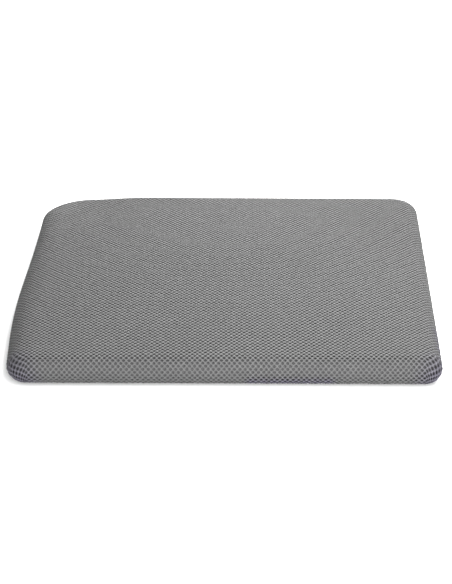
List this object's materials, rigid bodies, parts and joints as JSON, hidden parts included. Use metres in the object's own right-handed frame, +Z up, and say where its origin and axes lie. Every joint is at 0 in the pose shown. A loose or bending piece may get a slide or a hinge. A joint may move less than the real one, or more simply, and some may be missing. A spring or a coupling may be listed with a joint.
{
  "type": "kneeling pad",
  "caption": "Thin square kneeling pad: a rounded foam cushion in a grey spacer-mesh cover with a grip underside and a zip along its back, to kneel on while gardening.",
  "frame": {"origin": "middle of the whole part's footprint, on the surface that the pad lies on", "axes": "+Z up, out of the face that is knelt on; +Y towards the side with the zip; +X along the front side"},
  "size_m": [0.406, 0.4092, 0.0355],
  "materials": {
    "spacer_mesh": "matt knitted spacer mesh with round holes",
    "grip_fabric": "matt woven fabric with rubber grip dots",
    "soft_foam": "fine open-cell foam",
    "firm_foam": "fine open-cell foam",
    "zip_tape": "matt woven tape",
    "zip_coil": "satin nylon",
    "zip_metal": "nickel plate"
  },
  "bodies": {
    "pad": {"mesh_cover": "spacer_mesh", "non_slip_base": "grip_fabric", "comfort_foam": "soft_foam", "support_foam": "firm_foam", "zip_tape_upper": "zip_tape", "zip_tape_lower": "zip_tape", "zip_coil_upper": "zip_coil", "zip_coil_lower": "zip_coil", "zip_top_stop_upper": "zip_metal", "zip_top_stop_lower": "zip_metal", "zip_bottom_stop": "zip_metal"},
    "slider": {"zip_slider": "zip_metal"},
    "pull": {"zip_pull": "zip_metal"}
  },
  "joints": [
    {"name": "zip_slide", "type": "slide", "parent": "pad", "child": "slider", "axis": [-1, 0, 0], "range_m": [0, 0.276]},
    {"name": "pull_swivel", "type": "hinge", "parent": "slider", "child": "pull", "pos_m": [0.138, 0.2028, 0.01525], "axis": [0, 0, -1], "range_deg": [0, 180]}
  ]
}
